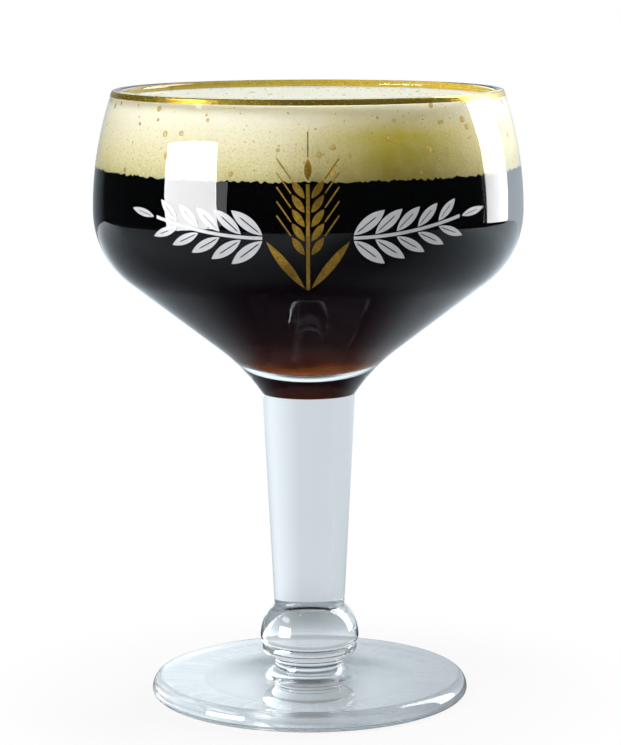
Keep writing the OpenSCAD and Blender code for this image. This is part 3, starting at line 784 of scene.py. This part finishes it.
# A painted shadow in an oval under the stem.
oval = put(tree, "ShaderNodeMapping", {"Vector": place, "Scale": (1 / OVAL_X, 1 / OVAL_Y, 0)})
oval = put(tree, "ShaderNodeVectorMath", {0: oval}, operation="LENGTH")
middle = put(tree, "ShaderNodeMapRange", {
    "Value": oval, "From Min": 0.35, "From Max": 1.0, "To Min": OVAL_SHADE, "To Max": 1.0},
    interpolation_type=SOFT)
under = put(tree, "ShaderNodeMath", {0: under, 1: middle}, operation="MULTIPLY")
away = put(tree, "ShaderNodeVectorMath", {0: place}, operation="NORMALIZE")
away = put(tree, "ShaderNodeSeparateXYZ", {0: away}).outputs["X"]
right = put(tree, "ShaderNodeMapRange", {"Value": away, **MORE_ON_RIGHT})
near = put(tree, "ShaderNodeMapRange", {
    "Value": distance, "From Min": 0.045, "From Max": 0.07, "To Min": 1.0, "To Max": 0.0})
# Painted shade round the foot, seen through glass.
around_foot = put(tree, "ShaderNodeMapRange", {
    "Value": distance, "From Min": 0.06, "From Max": 0.2, "To Min": SHADE_BEHIND, "To Max": 1.0},
    interpolation_type=SOFT)
right = put(tree, "ShaderNodeMath", {0: right, 1: around_foot}, operation="MULTIPLY")
in_glass = put(tree, "ShaderNodeMix", {0: near, 2: right, 3: under})
# Painted light from the glass, for light that has crossed it or been mirrored in it often.
crossed = put(tree, "ShaderNodeMath", {0: path["Transmission Depth"], 1: 0.5}, operation="GREATER_THAN")
gain = put(tree, "ShaderNodeMapRange", {"Value": near, "To Min": INNER_TABLE, "To Max": 0.0})
core = put(tree, "ShaderNodeMapRange", {
    "Value": distance, "From Min": 0.012, "From Max": 0.022, "To Min": INNER_CORE, "To Max": 0.0})
once = put(tree, "ShaderNodeMath", {0: path["Glossy Depth"], 1: 1.5}, operation="LESS_THAN")
often = put(tree, "ShaderNodeMath", {0: path["Transmission Depth"], 1: 3.5}, operation="GREATER_THAN")
knop_light = put(tree, "ShaderNodeMath", {0: once, 1: often}, operation="MULTIPLY")
gain = put(tree, "ShaderNodeMath", {0: core, 1: knop_light, 2: gain}, operation="MULTIPLY_ADD")
mirrored = put(tree, "ShaderNodeMath", {0: crossed, 1: gain, 2: mirrored}, operation="MULTIPLY_ADD")
deep = put(tree, "ShaderNodeMath", {0: path["Glossy Depth"], 1: 2.5}, operation="GREATER_THAN")
gain = put(tree, "ShaderNodeMath", {0: near, 1: INNER_DEEP}, operation="MULTIPLY")
mirrored = put(tree, "ShaderNodeMath", {0: deep, 1: gain, 2: mirrored}, operation="MULTIPLY_ADD")
matt = put(tree, "ShaderNodeBsdfDiffuse", {"Color": linear("#d0d0d0")})
seen_in_gloss = put(tree, "ShaderNodeEmission", {"Color": BLUE_ROOM, "Strength": mirrored})
seen_in_glass = put(tree, "ShaderNodeEmission", {"Color": PALE_ROOM, "Strength": in_glass})
white = put(tree, "ShaderNodeEmission", {"Strength": 1.0})
far = put(tree, "ShaderNodeMapRange", {
    "Value": distance, "From Min": 0.045, "From Max": 0.1, "To Min": 0.88, "To Max": 1.0},
    interpolation_type=SOFT)
with_shadow = put(tree, "ShaderNodeMixShader", {0: far, 1: matt, 2: white})
shown = put(tree, "ShaderNodeMixShader", {0: path["Is Transmission Ray"], 1: matt, 2: seen_in_glass})
shown = put(tree, "ShaderNodeMixShader", {0: path["Glossy Depth"], 1: shown, 2: seen_in_gloss})
shown = put(tree, "ShaderNodeMixShader", {0: path["Is Camera Ray"], 1: shown, 2: with_shadow})
put(tree, "ShaderNodeOutputMaterial", {"Surface": shown})
table.data.materials.append(table_top)

AIM = Vector((0, 0, 0.13))


def softbox(name, azimuth, elevation, distance, width, height, radiance, roll=0):
    """A rectangular lamp that faces the glass; azimuth is from the camera's side towards +X."""
    a, e = math.radians(azimuth), math.radians(elevation)
    lamp = bpy.data.lights.new(name, "AREA")
    lamp.shape = "RECTANGLE"
    lamp.size, lamp.size_y = width, height
    lamp.energy = radiance * math.pi * width * height
    obj = bpy.data.objects.new(name, lamp)
    offset = Vector((math.sin(a) * math.cos(e), -math.cos(a) * math.cos(e), math.sin(e))) * distance
    obj.location = AIM + offset
    rolled = Quaternion((0, 0, 1), math.radians(roll))
    obj.rotation_euler = (offset.to_track_quat("Z", "Y") @ rolled).to_euler()
    obj.visible_camera = False
    bpy.context.scene.collection.objects.link(obj)
    return obj


# The broad key lamp lights the matt surfaces. The card, the strip and the rim light on the left are
# only what gloss shows, and none of the four is seen through glass.
key = softbox("key_softbox", azimuth=-49, elevation=42, distance=0.90, width=0.60, height=0.60, radiance=6.3)
left_card = softbox("left_card", azimuth=-63, elevation=5, distance=0.72, width=0.40, height=0.34,
                    radiance=20.0, roll=8)
left_strip = softbox("left_strip", azimuth=-44.6, elevation=2, distance=0.72, width=0.085, height=0.17,
                     radiance=2.0)
rim_light = softbox("rim_light", azimuth=-78, elevation=34, distance=0.72, width=0.30, height=0.16,
                    radiance=6.0)
softbox("right_softbox", azimuth=117, elevation=21, distance=0.75, width=0.33, height=0.80, radiance=9.0)
key.visible_glossy = False
for lamp in (left_card, left_strip, rim_light):
    lamp.visible_diffuse = False
for lamp in (key, left_card, left_strip, rim_light):
    lamp.visible_transmission = False

# The room: white to the camera, and pale through glass, brighter on the right. For all else it has a
# dark front, a dim ceiling, and walls that are brightest behind on the right. Gloss sees it lighter
# once the light has crossed the glass, and darker high up in the middle.
WALL_PEAK = 4.0
WALL_LEVELS = ((-180, 0.9), (-165, 0.6), (-146, 0.25), (-138, 0.02), (130, 0.02), (132, 3.6), (140, 2.6),
               (150, 1.8), (165, 1.0), (180, 0.9))
INNER_ROOM = 0.55
HIGH_SHADE = 0.15
MATT_SHARE = 0.5
world = bpy.data.worlds.new("studio_room")
bpy.context.scene.world = world
world.use_nodes = True
tree = world.node_tree
tree.nodes.clear()
path = put(tree, "ShaderNodeLightPath").outputs
towards = put(tree, "ShaderNodeTexCoord").outputs["Generated"]
towards = put(tree, "ShaderNodeSeparateXYZ", {0: towards}).outputs
front = put(tree, "ShaderNodeMath", {0: towards["Y"], 1: -1.0}, operation="MULTIPLY")
bearing = put(tree, "ShaderNodeMath", {0: towards["X"], 1: front}, operation="ARCTAN2")
turn = put(tree, "ShaderNodeMapRange", {"Value": bearing, "From Min": -math.pi, "From Max": math.pi})
walls = put(tree, "ShaderNodeValToRGB", {0: turn}, stops=[
    ((degrees + 180) / 360, (*[level / WALL_PEAK] * 3, 1)) for degrees, level in WALL_LEVELS])
wall_level = put(tree, "ShaderNodeMath", {0: walls, 1: WALL_PEAK}, operation="MULTIPLY")
ceiling = put(tree, "ShaderNodeMapRange", {
    "Value": towards["Z"], "From Min": 0.3, "From Max": 0.9, "To Min": 0.0, "To Max": 0.2})
gloss_level = put(tree, "ShaderNodeMath", {0: wall_level, 1: ceiling}, operation="ADD")
crossed = put(tree, "ShaderNodeMath", {0: path["Transmission Depth"], 1: 0.5}, operation="GREATER_THAN")
gloss_level = put(tree, "ShaderNodeMath", {
    0: crossed, 1: INNER_ROOM, 2: gloss_level}, operation="MULTIPLY_ADD")
aside = put(tree, "ShaderNodeMath", {0: towards["X"]}, operation="ABSOLUTE")
aside = put(tree, "ShaderNodeMapRange", {
    "Value": aside, "From Min": 0.15, "From Max": 0.4, "To Min": HIGH_SHADE, "To Max": 1.0})
high = put(tree, "ShaderNodeMapRange", {
    "Value": towards["Z"], "From Min": 0.4, "From Max": 0.6, "To Min": 1.0, "To Max": aside})
around_level = put(tree, "ShaderNodeMath", {0: gloss_level, 1: high}, operation="MULTIPLY")
behind = put(tree, "ShaderNodeMapRange", {
    "Value": towards["Y"], "From Min": -0.2, "From Max": 0.2, "To Min": 0.6, "To Max": 1.0})
right = put(tree, "ShaderNodeMapRange", {"Value": towards["X"], **MORE_ON_RIGHT})
glass_level = put(tree, "ShaderNodeMath", {0: behind, 1: right}, operation="MULTIPLY")
for_matt = put(tree, "ShaderNodeMath", {0: gloss_level, 1: MATT_SHARE}, operation="MULTIPLY")
for_matt = put(tree, "ShaderNodeBackground", {"Color": linear("#e8e8e2"), "Strength": for_matt})
around = put(tree, "ShaderNodeBackground", {"Color": BLUE_ROOM, "Strength": around_level})
in_glass = put(tree, "ShaderNodeBackground", {"Color": PALE_ROOM, "Strength": glass_level})
white = put(tree, "ShaderNodeBackground", {"Color": linear("#ffffff"), "Strength": 1.0})
room = put(tree, "ShaderNodeMixShader", {0: path["Is Diffuse Ray"], 1: around, 2: for_matt})
room = put(tree, "ShaderNodeMixShader", {0: path["Is Transmission Ray"], 1: room, 2: in_glass})
room = put(tree, "ShaderNodeMixShader", {0: path["Glossy Depth"], 1: room, 2: around})
room = put(tree, "ShaderNodeMixShader", {0: path["Is Camera Ray"], 1: room, 2: white})
put(tree, "ShaderNodeOutputWorld", {"Surface": room})

# The camera stands where the fit to the photograph's outline puts it.
PHOTO_LONG_SIDE = 745
FOCAL_PX = 2764.2
CAMERA_PLACE = (0.0008, -0.7163, 0.1953)
CAMERA_DIP = 0.1514
CAMERA_ROLL = math.radians(0.18)
lens = bpy.data.cameras.new("camera")
lens.sensor_width = 36.0
lens.lens = FOCAL_PX * lens.sensor_width / PHOTO_LONG_SIDE
lens.clip_start, lens.clip_end = 0.01, 50.0
camera = bpy.data.objects.new("camera", lens)
camera.location = CAMERA_PLACE
camera.rotation_euler = (math.pi / 2 - CAMERA_DIP, CAMERA_ROLL, 0)
bpy.context.scene.collection.objects.link(camera)
bpy.context.scene.camera = camera
bpy.context.scene.view_settings.view_transform = "Standard"
paths = bpy.context.scene.cycles
paths.max_bounces, paths.glossy_bounces, paths.transmission_bounces = 24, 16, 24
